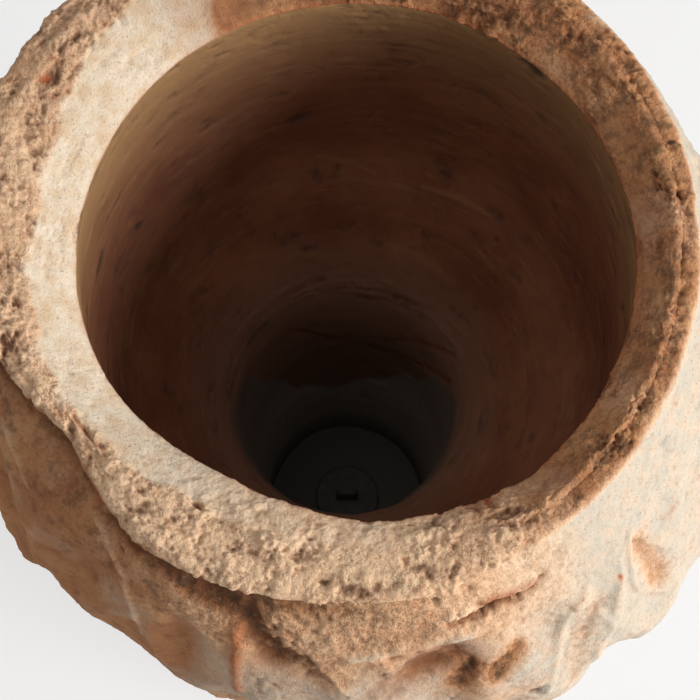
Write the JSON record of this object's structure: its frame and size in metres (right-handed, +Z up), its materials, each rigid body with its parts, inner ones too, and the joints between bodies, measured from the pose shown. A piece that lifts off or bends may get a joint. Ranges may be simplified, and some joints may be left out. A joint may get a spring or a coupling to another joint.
{
  "type": "strawberry jar planter",
  "caption": "Hand-built rough terracotta planter jar with a wide bowl, narrow throat, stout stem, notched foot ring, scooped and ridged outside, and a lift-out drain plug.",
  "frame": {"origin": "centre of the footprint on the ground, under the middle of the belly", "axes": "+Z up the jar; -Y is the front, the side nearest the viewer in the picture"},
  "size_m": [0.3219, 0.3204, 0.45],
  "materials": {
    "body_clay": "rough unglazed terracotta with a pale bloom outside and bare brown clay inside",
    "lip_clay": "smoothed clay with a thin cream slip",
    "rim_clay": "coarse open clay with grog standing out",
    "base_clay": "rough unglazed terracotta",
    "plug_rubber": "matt moulded rubber"
  },
  "bodies": {
    "jar": {"foot_ring": "base_clay", "base_slab": "base_clay", "stem_course_1": "body_clay", "stem_course_2": "body_clay", "stem_course_3": "body_clay", "stem_course_4": "body_clay", "stem_course_5": "body_clay", "stem_course_6": "body_clay", "bowl_course_1": "body_clay", "bowl_course_2": "body_clay", "bowl_course_3": "body_clay", "bowl_course_4": "body_clay", "shoulder_course_1": "body_clay", "shoulder_course_2": "body_clay", "shoulder_course_3": "body_clay", "lip_band": "lip_clay", "rim_roll": "rim_clay"},
    "plug": {"drain_plug": "plug_rubber"}
  },
  "joints": [
    {"name": "plug_lift", "type": "slide", "parent": "jar", "child": "plug", "axis": [0, 0, 1], "range_m": [0, 0.06]}
  ]
}
